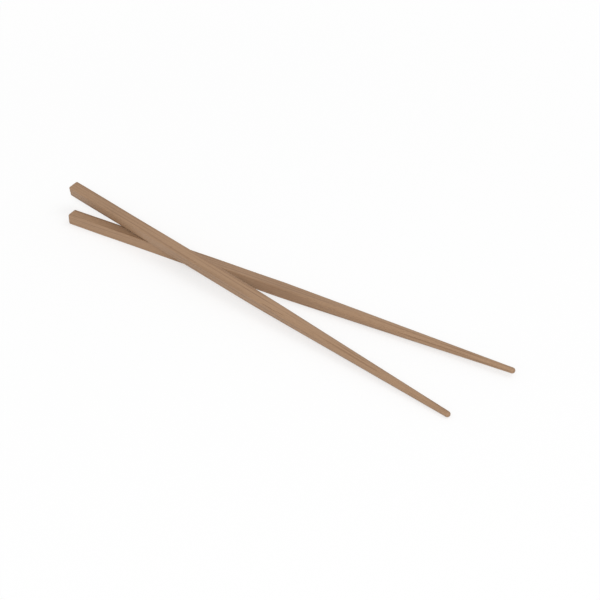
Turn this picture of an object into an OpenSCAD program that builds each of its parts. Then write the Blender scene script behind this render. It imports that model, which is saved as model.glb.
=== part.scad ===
// A pair of bamboo chopsticks, crossed as they lie on a table.
// The lower stick lies flat. The upper one leans across its edge, with the tip on the table.
// Each stick is a square bar whose front part is turned to a round taper with a domed tip.
// Millimetres, +Z up. The origin is on the table below the crossing, and +X runs to the lower tip.

/* [Stick] */
// Length of a stick, from the handle end to the tip
stick_length = 210; // [190:1:240]
// Side of the square handle
handle_side = 4.9; // [4:0.1:6.5]
// Radius of the sanded long edges
edge_radius = 0.45; // [0.2:0.05:0.9]
// Width of the bevel round the cut handle end, measured along the stick
end_bevel = 0.8; // [0.2:0.1:1.2]
// Length of the turned taper, from its start on the long edges to the tip
taper_length = 104; // [90:0.5:120]
// Diameter of the round tip
tip_diameter = 2.4; // [1.6:0.1:3.6]

/* [Lay] */
// Angle between the two sticks, in degrees
crossing_angle = 12.4; // [9:0.1:30]
// Distance from the lower stick's handle end to the crossing
lower_crossing = 52; // [35:0.5:60]
// Distance from the upper stick's handle end to the crossing
upper_crossing = 59; // [35:0.5:60]

/* [Hidden] */
$fn = 64;
bamboo = [0.63, 0.51, 0.41];

half_side = handle_side / 2;
edge_inset = half_side - edge_radius;
tip_radius = tip_diameter / 2;
tip_centre = stick_length - tip_radius;

// The taper's cone first touches the bar on its rounded edges, at corner_radius from the axis.
// From there the flats narrow, and they run out where the cone is as wide as the bar's side.
corner_radius = edge_inset * sqrt(2) + edge_radius;
taper_start = stick_length - taper_length;
taper_slope = (corner_radius - tip_radius) / (tip_centre - taper_start);
cone_base_radius = corner_radius + taper_slope * taper_start;
flats_end = taper_start + (corner_radius - half_side) / taper_slope;

// The upper stick turns about the lower one's edge until its tip meets the table.
// Seen along the lower stick, its tip's centre is tip_offset out from the edge's own centre line and
// axis_height above it, both before the turn, and edge_height - tip_radius below it after the turn.
tip_offset = (tip_centre - upper_crossing) * sin(crossing_angle);
axis_height = edge_radius + half_side;
edge_height = handle_side - edge_radius;
lean = atan2(axis_height, tip_offset)
    + asin((edge_height - tip_radius) / norm([tip_offset, axis_height]));

// Square with rounded corners, about the stick's axis
module handle_section() {
    square([handle_side, 2 * edge_inset], center = true);
    square([2 * edge_inset, handle_side], center = true);
    for (x = [-edge_inset, edge_inset], y = [-edge_inset, edge_inset])
        translate([x, y]) circle(edge_radius);
}

// Plank cut at 45 degrees on both edges: it trims two opposite sides of the handle end
module end_trim() {
    end_half = half_side - end_bevel;
    far_half = end_half + stick_length;
    linear_extrude(2 * handle_side, center = true)
        polygon([[0, -end_half], [stick_length, -far_half], [stick_length, far_half], [0, end_half]]);
}

// Half outline of the turned taper, with the axis upright: a long cone that ends in a round dome
module turned_outline() {
    polygon([
        [0, 0],
        [cone_base_radius, 0],
        [corner_radius, taper_start],
        [half_side, flats_end],
        [tip_radius, tip_centre],
        [0, tip_centre]
    ]);
    translate([0, tip_centre])
        intersection() {
            circle(tip_radius);
            square(tip_radius);
        }
}

// One stick along +X from its handle end, with its underside on the XY plane
module stick() {
    translate([0, 0, half_side])
        intersection() {
            rotate([90, 0, 90]) linear_extrude(stick_length) handle_section();
            rotate([0, 90, 0]) rotate_extrude() turned_outline();
            end_trim();
            rotate([90, 0, 0]) end_trim();
        }
}

module lower_stick() {
    color(bamboo)
        translate([-lower_crossing, 0, 0]) stick();
}

module upper_stick() {
    color(bamboo)
        translate([0, -edge_inset, edge_height])
            rotate([lean, 0, 0])
                translate([0, 0, edge_radius])
                    rotate([0, 0, -crossing_angle])
                        translate([-upper_crossing, 0, 0]) stick();
}

lower_stick();
upper_stick();
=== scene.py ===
"""A crossed pair of steamed bamboo chopsticks, dressed and set on a pale studio floor.

Lengths are in metres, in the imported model's own frame: the origin lies on the table below the crossing,
+X runs along the lower stick to its tip, and +Z is up. In a stick's own frame, +X runs along its axis
from the middle of the handle end.
"""

import logging
import math
from dataclasses import dataclass
from enum import Enum
from typing import Any

import bpy
import numpy as np
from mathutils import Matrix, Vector
from numpy.typing import NDArray


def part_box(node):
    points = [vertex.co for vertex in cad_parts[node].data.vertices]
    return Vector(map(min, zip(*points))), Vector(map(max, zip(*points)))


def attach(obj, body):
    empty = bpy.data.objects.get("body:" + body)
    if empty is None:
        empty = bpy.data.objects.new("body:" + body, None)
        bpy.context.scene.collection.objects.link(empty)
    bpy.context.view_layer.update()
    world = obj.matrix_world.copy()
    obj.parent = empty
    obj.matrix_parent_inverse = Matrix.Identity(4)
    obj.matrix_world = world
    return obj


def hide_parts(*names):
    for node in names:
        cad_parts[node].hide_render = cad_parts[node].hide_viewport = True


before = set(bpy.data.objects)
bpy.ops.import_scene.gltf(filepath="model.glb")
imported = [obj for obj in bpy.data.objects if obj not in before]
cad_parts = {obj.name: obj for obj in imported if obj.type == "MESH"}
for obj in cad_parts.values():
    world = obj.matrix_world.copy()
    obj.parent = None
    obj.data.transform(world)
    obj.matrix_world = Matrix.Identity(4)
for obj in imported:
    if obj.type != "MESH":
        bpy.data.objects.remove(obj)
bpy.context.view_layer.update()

LOG = logging.getLogger("chopsticks")
BODY = "root"
# The name of the flat map that each piece carries for baked textures
FLAT_MAP = "OFBake"
MM = 0.001
LONG_EDGES = 4
QUARTER_TURN = math.pi / 2
FULL_TURN = 2 * math.pi

Array = NDArray[np.float64]
Counts = NDArray[np.int64]
Band = tuple[float, float]
Place = tuple[float, float, float]
Colour = tuple[float, float, float, float]

WHITE: Colour = (1.0, 1.0, 1.0, 1.0)


def soft_min(first: Array, second: Array, softness: float) -> Array:
    """The lesser of two lengths, with the crease where they are equal eased inwards.

    Half of their sum, less half of the root of their difference squared plus the softness squared.

    Args:
        first: One length at each point.
        second: The other length at each point.
        softness: How wide the eased crease is; the result is half of this below the crease.

    Returns:
        The eased lesser length, never above either of the two.
    """
    return (first + second - np.sqrt((first - second) ** 2 + softness**2)) / 2


def ramp(values: Array, low: float, high: float) -> Array:
    """A straight rise from 0 at the low value to 1 at the high one, level on either side."""
    return np.clip((values - low) / (high - low), 0, 1)


def towards(bearing: float, elevation: float) -> Vector:
    """Direction from the sticks to a lamp or a camera.

    The bearing turns from -Y towards +X, and the elevation lifts the direction from the table.

    Args:
        bearing: The bearing in degrees.
        elevation: The elevation in degrees.

    Returns:
        A vector of unit length.
    """
    turn = math.radians(bearing)
    lift = math.radians(elevation)
    return Vector((math.sin(turn) * math.cos(lift), -math.cos(turn) * math.cos(lift), math.sin(lift)))


class Lay(Enum):
    """How a stick lies in the pair."""

    FLAT = "flat on the table"
    LEANING = "leaning on the other stick"


class Mark(Enum):
    """What a stick's mesh tells its finish about each point, by the attribute that holds it."""

    GRAIN = "grain"
    EDGE = "edge"
    END_GRAIN = "end_grain"
    TURNED = "turned"


@dataclass(frozen=True)
class FibreRelief:
    """Fine ridges that the fibres leave on the sanded surface, all running along the stick."""

    seed: int
    depth: float = 0.016 * MM
    finest: float = 0.42 * MM
    coarsest: float = 1.7 * MM
    shortest_drift: float = 140 * MM
    contrast: float = 1.6
    waves: int = 16

    def depth_at(self, points: Array) -> Array:
        """How far the surface lies below the planed face at each point.

        The mean of several cosine ridges. Each has its own direction across the grain, its own width
        and a slow drift along the stick, and the mean is lifted so that it only ever takes wood away.

        Args:
            points: Places in the stick's own frame, with x along the stick in the last axis.

        Returns:
            The depth at each place.
        """
        rng = np.random.default_rng(self.seed)
        bearing = rng.uniform(0, FULL_TURN, self.waves)
        width = np.geomspace(self.finest, self.coarsest, self.waves)
        drift = rng.uniform(-1, 1, self.waves) / self.shortest_drift
        steps = np.stack([drift, np.cos(bearing) / width, np.sin(bearing) / width])
        phase = rng.uniform(0, FULL_TURN, self.waves)
        ridges = np.cos(FULL_TURN * points @ steps + phase).mean(axis=-1)
        return self.depth * np.clip(0.5 + self.contrast * ridges, 0, 1)


@dataclass(frozen=True)
class Sanding:
    """How the long edges were eased by sanding: by a little more here than there."""

    seed: int
    spread: float = 0.35
    patch: float = 55 * MM
    patch_range: Band = (0.4, 1.6)
    waves: int = 5

    def edge_growth(self, along: Array, corner: Counts) -> Array:
        """Factor on the edge radius, from 1 upwards.

        For each of the four edges, a mean of slow cosines along the stick, lifted to lie between
        1 and 1 plus the spread.

        Args:
            along: Distance from the handle end, one row for each ring.
            corner: Number of the nearest long edge, for each place round the section.

        Returns:
            The factor for each ring and each place round it.
        """
        rng = np.random.default_rng(self.seed)
        pitch = rng.uniform(*self.patch_range, (self.waves, LONG_EDGES)) * self.patch
        phase = rng.uniform(0, FULL_TURN, (self.waves, LONG_EDGES))
        slow = np.cos(FULL_TURN * along[:, :, None] / pitch[:, corner].T + phase[:, corner].T)
        return 1 + self.spread * np.clip(0.5 + slow.mean(axis=-1), 0, 1)


@dataclass(frozen=True)
class SkinGrid:
    """The net of faces over a stick's rings, with a pole in the handle end's middle and one at the tip.

    Points are counted along each ring, ring by ring from the handle end, and the two poles come last.
    """

    rings: int
    columns: int

    def with_poles(self, values: Array, handle: Any, tip: Any) -> Array:
        """The rings' values in the order of the points, followed by those of the two poles."""
        count = self.rings * self.columns
        return np.concatenate([values.reshape(count, *values.shape[2:]), [handle, tip]])

    def faces(self) -> list[list[int]]:
        """Corners of the faces, wound to point outwards.

        A side face joins two neighbours on a ring with the same two on the next ring. The handle end
        and the tip are fans of triangles about their poles.

        Returns:
            The points of each side face, ring by ring, then of the handle end's and the tip's.
        """
        here = np.arange(self.columns)[None, :]
        after = (here + 1) % self.columns
        start = np.arange(self.rings - 1)[:, None] * self.columns
        end = start + self.columns
        sides = np.stack([start + here, start + after, end + after, end + here], axis=-1)
        last = (self.rings - 1) * self.columns
        pole = np.full_like(here, self.rings * self.columns)
        handle_end = np.stack([pole, after, here], axis=-1)
        tip = np.stack([pole + 1, last + here, last + after], axis=-1)
        fans = np.concatenate([handle_end, tip])
        return sides.reshape(-1, 4).tolist() + fans.reshape(-1, 3).tolist()

    def flat_map(self, reach: Array) -> Array:
        """The stick's skin laid out flat.

        The first part of a place on the map is the share of the way from the handle end's middle to
        the tip. The second is the share of the way round the stick.

        Args:
            reach: The first part at the handle end's pole, at each ring and at the tip's pole.

        Returns:
            One place on the map for each corner, in the order of the faces.
        """
        here = 1 - np.arange(self.columns) / self.columns
        after = here - 1 / self.columns
        middle = (here + after) / 2
        start = np.broadcast_to(reach[1:-2, None], (self.rings - 1, self.columns))
        end = np.broadcast_to(reach[2:-1, None], start.shape)
        sides_along = np.stack([start, start, end, end], axis=-1)
        sides_round = np.broadcast_to(np.stack([here, after, after, here], axis=-1), sides_along.shape)
        fans_along = np.stack([reach[[0, 1, 1]], reach[[-1, -2, -2]]]).repeat(self.columns, axis=0)
        fans_round = np.stack([[middle, after, here], [middle, here, after]]).swapaxes(1, 2)
        along = np.concatenate([sides_along.ravel(), fans_along.ravel()])
        around = np.concatenate([sides_round.ravel(), fans_round.ravel()])
        return np.stack([along, around], axis=-1)


@dataclass(frozen=True)
class StickSkin:
    """The worked-out surface of one stick, in the stick's own frame."""

    grid: SkinGrid
    points: Array
    marks: dict[Mark, Array]
    reach: Array


@dataclass(frozen=True)
class StickForm:
    """Sizes of one stick: a square bar whose front part is turned to a round taper with a domed tip."""

    length: float = 210 * MM
    side: float = 4.9 * MM
    edge_radius: float = 0.45 * MM
    end_bevel: float = 0.8 * MM
    taper_length: float = 104 * MM
    tip_diameter: float = 2.4 * MM

    # What turning, sanding and sawing leave
    eased_crease: float = 0.05 * MM
    eased_bevel: float = 0.18 * MM
    saw_ridge: float = 0.02 * MM
    saw_pitch: float = 0.55 * MM
    saw_slant: float = 0.3

    # The finish uses the long edges' mark to darken their colour, as painted shade
    # The long edges' mark rises over this band of the sine of twice the angle round the axis
    edge_band: Band = (0.93, 0.99)
    # How far the tip is cut across the grain, against the handle end
    tip_end_grain: float = 0.6

    # The mesh, and how much more room its map gives to the end face and the dome
    columns: int = 240
    cap_rings: int = 14
    bevel_rings: int = 22
    handle_rings: int = 84
    taper_rings: int = 116
    dome_rings: int = 14
    end_room: float = 4.0

    @property
    def half(self) -> float:
        """Half of the handle's side."""
        return self.side / 2

    @property
    def inset(self) -> float:
        """Distance from the axis to the centre line of a rounded edge, along one side."""
        return self.half - self.edge_radius

    @property
    def tip_radius(self) -> float:
        """Radius of the domed tip."""
        return self.tip_diameter / 2

    @property
    def tip_centre(self) -> float:
        """Distance from the handle end to the centre of the dome."""
        return self.length - self.tip_radius

    def cone(self, along: Array) -> Array:
        """Radius of the turned taper's cone.

        It falls evenly from the handle's rounded corner, where the taper starts, to the tip's radius.

        Args:
            along: Distance from the handle end.

        Returns:
            The cone's radius there.
        """
        corner = self.inset * math.sqrt(2) + self.edge_radius
        slope = (corner - self.tip_radius) / (self.taper_length - self.tip_radius)
        return self.tip_radius + slope * (self.tip_centre - along)

    def section(self, angle: Array, half: Array, edge: Array) -> Array:
        """Distance from the axis to a square with rounded corners.

        Along a side it is the half side over the cosine of the angle from that side's middle. Near a
        corner it is the far crossing of the ray with the corner's circle.

        Args:
            angle: Angle round the axis.
            half: Half of the square's side.
            edge: Radius of the corners.

        Returns:
            The distance in each direction.
        """
        from_side = np.abs((angle + QUARTER_TURN / 2) % QUARTER_TURN - QUARTER_TURN / 2)
        from_corner = QUARTER_TURN / 2 - from_side
        reach = (half - edge) * math.sqrt(2)
        room = np.maximum(edge**2 - (reach * np.sin(from_corner)) ** 2, 0)
        rounded = reach * np.cos(from_corner) + np.sqrt(room)
        return np.where(from_side > np.arctan2(half - edge, half), rounded, half / np.cos(from_side))

    def bevel_profile(self) -> tuple[Array, Array]:
        """Profile of the handle end's bevel, from the end face round to the side.

        With the profile turned by 45 degrees, the bevel is a level line between two slopes. The line
        taken is the eased greater of the two, carried back to distances along and into the stick.

        Returns:
            The distance from the handle end and the depth below the side, for each ring.
        """
        reach = 2 * self.end_bevel
        across = np.linspace(-reach, reach, self.bevel_rings)
        gap = np.abs(across) - self.end_bevel
        level = self.end_bevel + (gap + np.sqrt(gap**2 + self.eased_bevel**2)) / 2
        return (level + across) / 2, (level - across) / 2

    def body_rings(self) -> tuple[Array, Array]:
        """Where the rings between the end face and the dome lie.

        First come those of the bevel, then evenly spaced ones on the handle and on the taper.

        Returns:
            The distance from the handle end and the depth below the sides, one row for each ring.
        """
        bevel_along, bevel_depth = self.bevel_profile()
        taper_start = self.length - self.taper_length
        handle = np.linspace(bevel_along[-1], taper_start, self.handle_rings + 1)[1:]
        taper = np.linspace(taper_start, self.tip_centre, self.taper_rings + 1)[1:]
        along = np.concatenate([bevel_along, handle, taper])
        depth = np.pad(bevel_depth, (0, self.handle_rings + self.taper_rings))
        return along[:, None], depth[:, None]

    def close_ends(self, along: Array, radius: Array) -> tuple[Array, Array]:
        """Adds the rings of the end face and of the dome to those of the body.

        Those of the end face are even shares of the body's first ring, at the same distance from the
        handle end. Those of the dome follow a quarter circle that is turned about the axis.

        Args:
            along: Distance of the body's rings from the handle end, one row for each ring.
            radius: Distance of their points from the axis.

        Returns:
            The two distances, for every point of all rings.
        """
        share = np.linspace(0, 1, self.cap_rings, endpoint=False)[1:, None]
        rise = np.linspace(0, QUARTER_TURN, self.dome_rings + 1)[1:-1, None]
        dome = np.broadcast_to(self.tip_radius * np.cos(rise), (len(rise), self.columns))
        out = np.concatenate([share * radius[0], radius, dome])
        nose = self.tip_centre + self.tip_radius * np.sin(rise)
        ahead = np.concatenate([np.full_like(share, along[0, 0]), along, nose])
        return np.broadcast_to(ahead, out.shape), out

    def saw_marks(self, points: Array) -> Array:
        """Height of the saw's ridges on the end face: a raised cosine across it, a little aslant."""
        across = points[..., 1] + self.saw_slant * points[..., 2]
        return self.saw_ridge * (0.5 + 0.5 * np.cos(FULL_TURN * across / self.saw_pitch))

    def map_reach(self, profile: Array, at_end: Array) -> Array:
        """How far along the flat map each ring lies.

        The steps from ring to ring along the profile, each made longer by the end room times the share
        of it that lies on an end, are summed up and divided by their total.

        Args:
            profile: Mean distance from the handle end and from the axis, for the rings and both poles.
            at_end: How far each of them belongs to the end face or the dome.

        Returns:
            The place on the map for each of them, from 0 to 1.
        """
        room = 1 + self.end_room * (at_end[1:] + at_end[:-1]) / 2
        step = np.linalg.norm(np.diff(profile, axis=0), axis=1) * room
        return np.concatenate([[0.0], np.cumsum(step)]) / step.sum()

    def skin(self, relief: FibreRelief, sanding: Sanding) -> StickSkin:
        """The stick's surface as rings from the handle end's middle to the tip.

        Each ring is the eased lesser of the rounded square and the taper's cone, less the fibre
        ridges. The rings of the end face shrink to its middle, and those of the dome to the tip.

        Args:
            relief: The ridges that the fibres leave.
            sanding: How the long edges were eased.

        Returns:
            The rings, their poles and what each place on them is.
        """
        angle = np.linspace(0, FULL_TURN, self.columns, endpoint=False)
        corner = np.floor(angle / QUARTER_TURN).astype(np.int64)
        body, depth = self.body_rings()
        edge = self.edge_radius * sanding.edge_growth(body, corner)
        square = self.section(angle, self.half - depth, edge)
        cone = np.broadcast_to(self.cone(body), square.shape)
        along, out = self.close_ends(body, soft_min(square, cone, self.eased_crease))
        grid = SkinGrid(*out.shape)

        on_face = 1 - ramp(along, along[0, 0], along[0, 0] + self.end_bevel)
        on_dome = ramp(along, self.tip_centre, self.length)
        smooth = np.stack([along, out * np.cos(angle), out * np.sin(angle)], axis=-1)
        worn = out - relief.depth_at(smooth) * (1 - on_face) * (1 - on_dome**2)
        sawn = along + self.saw_marks(smooth) * on_face * (worn < self.half - self.end_bevel)
        points = np.stack([sawn, worn * np.cos(angle), worn * np.sin(angle)], axis=-1)
        poles = np.array([[along[0, 0], 0.0, 0.0], [self.length, 0.0, 0.0]])

        turned = ramp(square - cone, -self.eased_crease, self.eased_crease)
        turned = np.pad(turned, ((self.cap_rings - 1, self.dome_rings - 1), (0, 0)), mode="edge")
        # The long edges, which the finish darkens as painted shade
        on_edge = ramp(np.abs(np.sin(2 * angle)), *self.edge_band) * (1 - turned)
        end_grain = np.maximum(on_face, self.tip_end_grain * on_dome)

        profile = np.stack([sawn, worn], axis=-1).mean(axis=1)
        profile = np.concatenate([poles[:1, :2], profile, poles[1:, :2]])
        at_end = np.pad(np.maximum(on_face, on_dome).mean(axis=1), 1, constant_values=1.0)
        return StickSkin(
            grid=grid,
            points=grid.with_poles(points, *poles),
            marks={
                Mark.EDGE: grid.with_poles(on_edge, 0.0, 0.0),
                Mark.END_GRAIN: grid.with_poles(end_grain, 1.0, self.tip_end_grain),
                Mark.TURNED: grid.with_poles(turned, 0.0, 1.0),
            },
            reach=self.map_reach(profile, at_end),
        )


@dataclass(frozen=True)
class Crossing:
    """How the two sticks lie across each other."""

    angle: float = math.radians(12.4)
    lower_from_handle: float = 52 * MM
    upper_from_handle: float = 59 * MM

    def lean(self, form: StickForm) -> float:
        """Angle by which the upper stick turns about the lower one's edge until its tip is on the table.

        Seen along the lower stick, the line from the edge's own centre to the tip's centre first rises
        to the height of the upper stick's axis. After the turn it falls to a tip's radius above the
        table. The angle is the sum of that rise and that fall.

        Args:
            form: The sticks' sizes.

        Returns:
            The angle in radians.
        """
        tip_offset = (form.tip_centre - self.upper_from_handle) * math.sin(self.angle)
        axis_height = form.edge_radius + form.half
        drop = form.side - form.edge_radius - form.tip_radius
        above = math.atan2(axis_height, tip_offset)
        below = math.asin(drop / math.hypot(tip_offset, axis_height))
        return above + below

    def place(self, points: Array, form: StickForm, lay: Lay) -> Array:
        """Carries points from a stick's own frame to where that stick lies.

        The lower stick is only shifted. The upper one is turned by the crossing's angle, set on the
        lower one's edge and turned about that edge by the lean.

        Args:
            points: Points in the stick's own frame.
            form: The sticks' sizes.
            lay: How this stick lies.

        Returns:
            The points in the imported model's frame.
        """
        up = np.array([0.0, 0.0, form.half])
        if lay is Lay.FLAT:
            return points + up - np.array([self.lower_from_handle, 0.0, 0.0])
        lean = self.lean(form)
        turn = np.array([
            [math.cos(self.angle), math.sin(self.angle), 0.0],
            [-math.sin(self.angle), math.cos(self.angle), 0.0],
            [0.0, 0.0, 1.0],
        ])
        tilt = np.array([
            [1.0, 0.0, 0.0],
            [0.0, math.cos(lean), -math.sin(lean)],
            [0.0, math.sin(lean), math.cos(lean)],
        ])
        crossed = (points + up - np.array([self.upper_from_handle, 0.0, 0.0])) @ turn.T
        seated = (crossed + np.array([0.0, 0.0, form.edge_radius])) @ tilt.T
        return seated + np.array([0.0, -form.inset, form.side - form.edge_radius])


@dataclass(frozen=True)
class Grain:
    """One pattern in the grain: how long and how wide its marks are, and how far they break up."""

    along: float
    across: float
    detail: float = 1.0
    breaking: float = 0.6


@dataclass(frozen=True)
class Shares:
    """How much each layer of the grain adds to one property of the surface."""

    base: float = 0.0
    fibre: float = 0.0
    streak: float = 0.0
    zone: float = 0.0
    grit: float = 0.0
    fleck: float = 0.0
    sheath: float = 0.0
    vessel: float = 0.0
    # The long edges' share; in the colour it is painted shade
    edge: float = 0.0
    end_grain: float = 0.0
    lathe: float = 0.0


class Signal:
    """A value that varies over a surface. Arithmetic on it adds Math nodes to its tree."""

    def __init__(self, tree: "ShaderTree", socket: bpy.types.NodeSocket) -> None:
        """Wraps an output socket of a tree."""
        self.tree = tree
        self.socket = socket

    def __add__(self, other: "Signal | float") -> "Signal":
        """This value plus another."""
        return self.tree.math("ADD", self, other)

    def __radd__(self, other: float) -> "Signal":
        """A number plus this value."""
        return self.tree.math("ADD", other, self)

    def __sub__(self, other: "Signal | float") -> "Signal":
        """This value less another."""
        return self.tree.math("SUBTRACT", self, other)

    def __rsub__(self, other: float) -> "Signal":
        """A number less this value."""
        return self.tree.math("SUBTRACT", other, self)

    def __mul__(self, other: "Signal | float") -> "Signal":
        """This value times another."""
        return self.tree.math("MULTIPLY", self, other)

    def __rmul__(self, other: float) -> "Signal":
        """A number times this value."""
        return self.tree.math("MULTIPLY", other, self)


class ShaderTree:
    """A node tree that is written as expressions."""

    def __init__(self, tree: bpy.types.NodeTree) -> None:
        """Takes over a tree and empties it."""
        self.tree = tree
        self.tree.nodes.clear()

    def node(self, kind: str, settings: dict[str, Any], sockets: dict[str, Any]) -> dict[str, Signal]:
        """Adds one node.

        Args:
            kind: The node's type.
            settings: Its properties, set before its sockets.
            sockets: A value or a signal for each input, by the socket's identifier.

        Returns:
            The node's outputs, by the socket's identifier.
        """
        made = self.tree.nodes.new(kind)
        for name, value in settings.items():
            setattr(made, name, value)
        inputs = {socket.identifier: socket for socket in made.inputs}
        for name, value in sockets.items():
            if isinstance(value, Signal):
                self.tree.links.new(value.socket, inputs[name])
            else:
                inputs[name].default_value = value
        return {socket.identifier: Signal(self, socket) for socket in made.outputs}

    def math(self, operation: str, first: Signal | float, second: Signal | float) -> Signal:
        """One step of arithmetic on two values."""
        sockets = {"Value": first, "Value_001": second}
        return self.node("ShaderNodeMath", {"operation": operation}, sockets)["Value"]

    def attribute(self, mark: Mark, output: str = "Fac") -> Signal:
        """What the piece's own mesh tells about each point."""
        return self.node("ShaderNodeAttribute", {"attribute_name": mark.value}, {})[output]

    def stretch(self, place: Signal, along: float, across: float) -> Signal:
        """A place, across the grain in two parts and along it in the third, over the size of a mark."""
        sockets = {"Vector": place, "Vector_001": (1 / across, 1 / across, 1 / along)}
        return self.node("ShaderNodeVectorMath", {"operation": "MULTIPLY"}, sockets)["Vector"]

    def noise(self, place: Signal, grain: Grain, output: str = "Fac") -> Signal:
        """Smooth noise around one half.

        Args:
            place: The place in the grain.
            grain: The size of the noise's marks.
            output: Fac for a value, or Color for three of them that vary apart from each other.

        Returns:
            The noise at that place.
        """
        sized = self.stretch(place, grain.along, grain.across)
        sockets = {"Vector": sized, "Scale": 1.0, "Detail": grain.detail, "Roughness": grain.breaking}
        return self.node("ShaderNodeTexNoise", {"noise_dimensions": "3D"}, sockets)[output]

    def swing(self, place: Signal, grain: Grain) -> Signal:
        """Smooth noise around zero."""
        return self.noise(place, grain) - 0.5

    def ease(self, value: Signal, band: Band) -> Signal:
        """A smooth step from 0 at the band's lower end to 1 at its upper end."""
        sockets = {"Value": value, "From Min": band[0], "From Max": band[1]}
        return self.node("ShaderNodeMapRange", {"interpolation_type": "SMOOTHSTEP"}, sockets)["Result"]

    def blend(self, share: Signal, first: Colour | Signal, second: Colour | Signal) -> Signal:
        """A colour between two, by the share of the second."""
        sockets = {"Factor_Float": share, "A_Color": first, "B_Color": second}
        return self.node("ShaderNodeMix", {"data_type": "RGBA"}, sockets)["Result_Color"]

    def seen(self) -> Signal:
        """Tells what is looked at from what only gives light.

        Returns:
            1 for a ray from the camera, off a shiny surface or through glass, and 0 for plain light.
        """
        path = self.node("ShaderNodeLightPath", {}, {})
        bent = self.math("MAXIMUM", path["Is Glossy Ray"], path["Is Transmission Ray"])
        return self.math("MAXIMUM", path["Is Camera Ray"], bent)


@dataclass(frozen=True)
class SteamedBamboo:
    """Steamed brown bamboo: long dark fibre bundles in paler ground tissue, sanded to a satin."""

    pale: Colour = (0.396, 0.248, 0.147, 1.0)
    tan: Colour = (0.270, 0.159, 0.089, 1.0)
    brown: Colour = (0.205, 0.111, 0.058, 1.0)
    dark: Colour = (0.098, 0.050, 0.027, 1.0)

    # The ground tissue and what turning leaves on it
    drift: Grain = Grain(110 * MM, 6 * MM)
    wander: float = 0.5 * MM
    fibre: Grain = Grain(40 * MM, 0.11 * MM, detail=2.0)
    streak: Grain = Grain(95 * MM, 1.5 * MM, detail=2.0)
    zone: Grain = Grain(60 * MM, 14 * MM)
    grit: Grain = Grain(0.5 * MM, 0.08 * MM)
    fleck: Grain = Grain(2.4 * MM, 0.10 * MM)
    fleck_band: Band = (0.60, 0.74)
    lathe: Grain = Grain(0.22 * MM, 40 * MM, detail=2.0)

    # The bundles: bands are distances from a bundle's middle in pitches, or levels of the noise
    bundle_pitch: float = 0.62 * MM
    bundle_scatter: float = 0.85
    sheath_band: Band = (0.14, 0.30)
    sheath_growth: float = 0.16
    fading: Grain = Grain(45 * MM, 1.3 * MM)
    fading_band: Band = (0.34, 0.60)
    vessel_band: Band = (0.05, 0.10)
    opened_band: Band = (0.35, 0.55)
    broken: Grain = Grain(14 * MM, 0.8 * MM)
    broken_band: Band = (0.46, 0.58)

    # What the layers add to the shares of tan, brown and dark, to the roughness and to the height
    # The tanning's edge share is painted shade: it darkens the colour along the long edges
    tanning: Shares = Shares(base=0.36, fibre=0.9, streak=0.8, zone=0.7, grit=0.3, edge=0.2)
    browning: Shares = Shares(sheath=0.62, end_grain=0.25)
    darkening: Shares = Shares(vessel=0.75, fleck=0.30)
    roughening: Shares = Shares(base=0.54, fibre=0.22, sheath=-0.08, vessel=0.18, end_grain=0.10)
    raising: Shares = Shares(fibre=0.6, grit=0.15, fleck=-0.25, sheath=0.12, vessel=-0.9, lathe=0.16)
    relief: float = 0.03 * MM
    relief_strength: float = 0.6
    gloss: float = 0.4

    def material(self, name: str) -> bpy.types.Material:
        """Makes the finish as a material.

        Bundles are round spots across the grain that run on along it, so that they show as lines on the
        sides and as dots on the cut end. Each has a dark sheath, and in many the sanding has opened the
        vessel in its middle as a fine groove. Fibres, broad streaks and short flecks lie over them. The
        long edges are darkened a little as painted shade.

        Args:
            name: The material's name.

        Returns:
            The material.
        """
        made = bpy.data.materials.new(name)
        made.use_nodes = True
        tree = ShaderTree(made.node_tree)
        place = tree.attribute(Mark.GRAIN, "Vector")
        edge = tree.attribute(Mark.EDGE)
        end_grain = tree.attribute(Mark.END_GRAIN)
        turned = tree.attribute(Mark.TURNED)

        wandering = self.wandering(tree, place)
        sheath, vessel = self.bundles(tree, place, wandering)
        fibre = tree.swing(wandering, self.fibre)
        streak = tree.swing(wandering, self.streak)
        zone = tree.swing(place, self.zone)
        grit = tree.swing(place, self.grit)
        fleck = tree.ease(tree.noise(place, self.fleck), self.fleck_band)
        lathe = tree.noise(place, self.lathe) * turned

        tan, brown, dark = self.tanning, self.browning, self.darkening
        tanned = tan.base + tan.fibre * fibre + tan.streak * streak + tan.zone * zone
        # Painted shade: the long edges are darkened a little
        tanned = tanned + tan.grit * grit + tan.edge * edge
        colour = tree.blend(tanned, self.pale, self.tan)
        colour = tree.blend(brown.sheath * sheath + brown.end_grain * end_grain, colour, self.brown)
        colour = tree.blend(dark.vessel * vessel + dark.fleck * fleck, colour, self.dark)

        rough = self.roughening
        roughness = rough.base + rough.fibre * fibre + rough.sheath * sheath
        roughness = roughness + rough.vessel * vessel + rough.end_grain * end_grain

        rise = self.raising
        height = rise.fibre * fibre + rise.grit * grit + rise.fleck * fleck
        height = height + rise.sheath * sheath + rise.vessel * vessel + rise.lathe * lathe
        bump = {"Strength": self.relief_strength, "Distance": self.relief, "Height": height}
        normal = tree.node("ShaderNodeBump", {}, bump)["Normal"]

        surface = {
            "Base Color": colour,
            "Roughness": roughness,
            "Specular IOR Level": self.gloss,
            "Normal": normal,
        }
        shader = tree.node("ShaderNodeBsdfPrincipled", {}, surface)["BSDF"]
        tree.node("ShaderNodeOutputMaterial", {}, {"Surface": shader})
        return made

    def wandering(self, tree: ShaderTree, place: Signal) -> Signal:
        """The place in the grain, shifted across it by a slow drift, so that no line is quite straight.

        Args:
            tree: The material's tree.
            place: Where a point lies in the grain.

        Returns:
            The shifted place.
        """
        reach = 2 * self.wander
        drift = tree.noise(place, self.drift, "Color")
        sockets = {"Vector": drift, "Vector_001": (reach, reach, 0.0), "Vector_002": place}
        return tree.node("ShaderNodeVectorMath", {"operation": "MULTIPLY_ADD"}, sockets)["Vector"]

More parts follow.
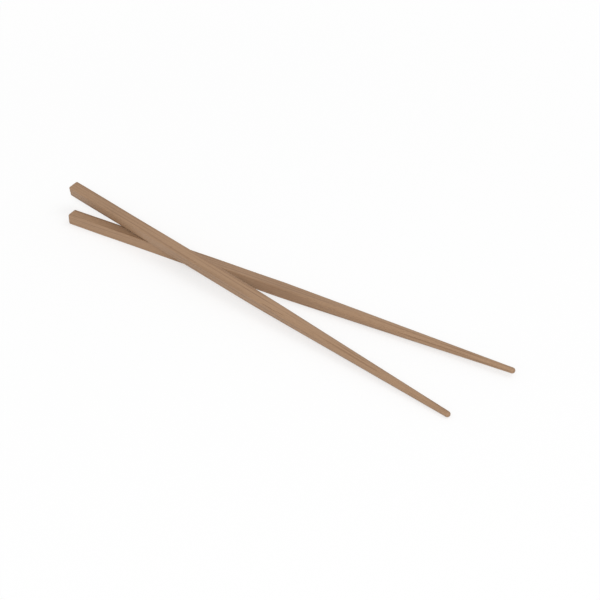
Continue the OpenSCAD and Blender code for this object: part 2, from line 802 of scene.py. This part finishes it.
    def bundles(self, tree: ShaderTree, place: Signal, wandering: Signal) -> tuple[Signal, Signal]:
        """The fibre bundles and the vessels inside them.

        A bundle is what lies within a radius of the nearest of many scattered points across the grain,
        and each has a radius of its own. It fades in and out along the stick.

        Args:
            tree: The material's tree.
            place: Where a point lies in the grain.
            wandering: The same with the grain's slow drift.

        Returns:
            How much of a point is sheath, and how much is an opened vessel.
        """
        spots = tree.stretch(wandering, 1.0, self.bundle_pitch)
        sockets = {"Vector": spots, "Scale": 1.0, "Randomness": self.bundle_scatter}
        nearest = tree.node("ShaderNodeTexVoronoi", {"voronoi_dimensions": "2D"}, sockets)
        own = tree.node("ShaderNodeSeparateColor", {}, {"Color": nearest["Color"]})
        off = nearest["Distance"]
        fading = tree.ease(tree.noise(place, self.fading), self.fading_band)
        broken = tree.ease(tree.noise(place, self.broken), self.broken_band)
        opened = tree.ease(own["Green"], self.opened_band)
        sheath = (1 - tree.ease(off - self.sheath_growth * own["Red"], self.sheath_band)) * fading
        vessel = (1 - tree.ease(off, self.vessel_band)) * opened * broken
        return sheath, vessel


@dataclass(frozen=True)
class Culm:
    """Where in the wall of a bamboo culm a stick was split from. Bundles lie closer towards the skin."""

    skin_bearing: float
    offset: Place
    crowding: float = 0.45

    def grain(self, points: Array, half: float) -> Array:
        """Places in the culm's own grain, in which all bundles have the same spacing.

        The place is turned so that its first part points at the culm's skin. Both parts across the
        grain are then stretched: the second by 1 plus the crowding times the share of the way to the
        skin, and the first by the integral of the same, which leaves bundles round.

        Args:
            points: Places in the stick's own frame.
            half: Half of the stick's side.

        Returns:
            The place towards the skin, round the culm and along it.
        """
        turn = math.radians(self.skin_bearing)
        outward = points[:, 1] * math.cos(turn) + points[:, 2] * math.sin(turn)
        around = points[:, 2] * math.cos(turn) - points[:, 1] * math.sin(turn)
        share = self.crowding * outward / half
        stretched = np.stack([outward * (1 + share / 2), around * (1 + share), points[:, 0]], axis=-1)
        return stretched + np.array(self.offset)


@dataclass(frozen=True)
class Chopstick:
    """One stick of the pair, which stands for its plain solid."""

    node: str
    lay: Lay
    culm: Culm
    form: StickForm
    crossing: Crossing
    seed: int

    def build(self) -> bpy.types.Object:
        """Makes the stick's mesh where it lies and puts it in the place of its solid.

        Returns:
            The new piece.
        """
        skin = self.form.skin(FibreRelief(self.seed), Sanding(self.seed + 1))
        placed = self.crossing.place(skin.points, self.form, self.lay)
        grain = self.culm.grain(skin.points, self.form.half)

        mesh = bpy.data.meshes.new(f"{self.node}_bamboo")
        mesh.from_pydata(placed.tolist(), [], skin.grid.faces())
        mesh.polygons.foreach_set("use_smooth", np.ones(len(mesh.polygons), dtype=bool))
        attribute = mesh.attributes.new(Mark.GRAIN.value, "FLOAT_VECTOR", "POINT")
        attribute.data.foreach_set("vector", grain.ravel())
        for mark, values in skin.marks.items():
            attribute = mesh.attributes.new(mark.value, "FLOAT", "POINT")
            attribute.data.foreach_set("value", values)
        flat = mesh.uv_layers.new(name=FLAT_MAP)
        flat.uv.foreach_set("vector", skin.grid.flat_map(skin.reach).ravel())
        mesh.update()

        piece = bpy.data.objects.new(f"{self.node}_bamboo", mesh)
        bpy.context.scene.collection.objects.link(piece)
        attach(piece, BODY)
        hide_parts(self.node)
        return piece

    def dress(self, piece: bpy.types.Object, finish: bpy.types.Material) -> None:
        """Gives the stick its finish."""
        piece.data.materials.append(finish)


@dataclass(frozen=True)
class PaleFloor:
    """White matt paint that takes the sticks' shadow and goes over into plain white away from them."""

    colour: Colour = WHITE
    white_share: float = 0.6
    fade: Band = (0.15, 0.45)

    def material(self, name: str, middle: Vector) -> bpy.types.Material:
        """Makes the finish as a material.

        Where the floor is looked at, a share of plain white is mixed in, which grows to all of it over
        the fade's distances from the middle.

        Args:
            name: The material's name.
            middle: The point from which the fade is measured.

        Returns:
            The material.
        """
        made = bpy.data.materials.new(name)
        made.use_nodes = True
        tree = ShaderTree(made.node_tree)
        matt = tree.node("ShaderNodeBsdfDiffuse", {}, {"Color": self.colour})["BSDF"]
        plain = tree.node("ShaderNodeEmission", {}, {"Color": WHITE, "Strength": 1.0})["Emission"]
        spot = tree.node("ShaderNodeTexCoord", {}, {})["Object"]
        ends = {"Vector": spot, "Vector_001": tuple(middle)}
        away = tree.node("ShaderNodeVectorMath", {"operation": "DISTANCE"}, ends)["Value"]
        share = self.white_share + (1 - self.white_share) * tree.ease(away, self.fade)
        sockets = {"Fac": share * tree.seen(), "Shader": matt, "Shader_001": plain}
        shader = tree.node("ShaderNodeMixShader", {}, sockets)["Shader"]
        tree.node("ShaderNodeOutputMaterial", {}, {"Surface": shader})
        return made


@dataclass(frozen=True)
class Lamp:
    """A square soft box that looks at the sticks."""

    name: str
    bearing: float
    elevation: float
    distance: float
    size: float
    power: float

    def hang(self, target: Vector) -> None:
        """Adds the lamp to the scene.

        Args:
            target: The point that it faces.
        """
        light = bpy.data.lights.new(self.name, "AREA")
        light.size = self.size
        light.energy = self.power
        away = towards(self.bearing, self.elevation)
        lamp = bpy.data.objects.new(self.name, light)
        lamp.location = target + away * self.distance
        lamp.rotation_euler = away.to_track_quat("Z", "Y").to_euler()
        lamp.visible_camera = False
        bpy.context.scene.collection.objects.link(lamp)


@dataclass(frozen=True)
class Studio:
    """A pale floor under soft, even light."""

    middle: Place = (50 * MM, -10 * MM, 0.0)
    floor_reach: float = 6.0
    floor_finish: PaleFloor = PaleFloor()
    sky_level: float = 0.58
    lamps: tuple[Lamp, ...] = (
        Lamp("window_softbox", bearing=130.0, elevation=60.0, distance=6.0, size=3.75, power=61.0),
        Lamp("front_softbox", bearing=30.5, elevation=42.0, distance=6.0, size=2.4, power=150.0),
    )

    def build(self) -> None:
        """Adds the floor, the sky and the lamps."""
        self.lay_floor()
        self.light_sky()
        for lamp in self.lamps:
            lamp.hang(Vector(self.middle))

    def lay_floor(self) -> None:
        """Adds the floor, which isn't part of the object."""
        far = self.floor_reach
        corners = [(-far, -far, 0.0), (far, -far, 0.0), (far, far, 0.0), (-far, far, 0.0)]
        mesh = bpy.data.meshes.new("studio_floor")
        mesh.from_pydata(corners, [], [(0, 1, 2, 3)])
        mesh.materials.append(self.floor_finish.material("pale_floor", Vector(self.middle)))
        floor = bpy.data.objects.new("studio_floor", mesh)
        bpy.context.scene.collection.objects.link(floor)

    def light_sky(self) -> None:
        """Gives the world an even light, which the camera sees as white."""
        world = bpy.data.worlds.new("studio_sky")
        world.use_nodes = True
        tree = ShaderTree(world.node_tree)
        level = self.sky_level + (1 - self.sky_level) * tree.seen()
        sky = tree.node("ShaderNodeBackground", {}, {"Color": WHITE, "Strength": level})["Background"]
        tree.node("ShaderNodeOutputWorld", {}, {"Surface": sky})
        bpy.context.scene.world = world


@dataclass(frozen=True)
class PhotoCamera:
    """The camera where the photograph was taken from. Azimuth 0 looks along +Y."""

    azimuth: float = 30.5
    elevation: float = 36.525
    distance: float = 670.9 * MM
    aim: Place = (62.58 * MM, 0.635 * MM, 0.0)
    lens: float = 99.28
    sensor: float = 36.0

    def place(self) -> None:
        """Adds the camera and makes it the scene's own."""
        data = bpy.data.cameras.new("photo_camera")
        data.lens = self.lens
        data.sensor_width = self.sensor
        back = towards(self.azimuth, self.elevation)
        camera = bpy.data.objects.new("photo_camera", data)
        camera.location = Vector(self.aim) + back * self.distance
        camera.rotation_euler = back.to_track_quat("Z", "Y").to_euler()
        bpy.context.scene.collection.objects.link(camera)
        bpy.context.scene.camera = camera


def main() -> None:
    """Builds the pair, dresses it and sets the studio round it."""
    logging.basicConfig(level=logging.INFO, format="%(name)s: %(message)s")
    PhotoCamera().place()
    form = StickForm()
    crossing = Crossing()
    bamboo = SteamedBamboo().material("steamed_bamboo")
    lower_culm = Culm(skin_bearing=315.0, offset=(0.031, 0.012, 0.40))
    upper_culm = Culm(skin_bearing=320.0, offset=(0.074, 0.045, 0.05))
    pair = (
        Chopstick("lower_stick", Lay.FLAT, lower_culm, form, crossing, seed=11),
        Chopstick("upper_stick", Lay.LEANING, upper_culm, form, crossing, seed=29),
    )
    for stick in pair:
        piece = stick.build()
        stick.dress(piece, bamboo)
        faces = len(piece.data.polygons)
        low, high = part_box(stick.node)
        LOG.info("%s, %s: %d faces, solid from %s to %s", piece.name, stick.lay.value, faces, low, high)
    Studio().build()
    bpy.context.scene.view_settings.view_transform = "Standard"


if __name__ == "__main__":
    main()
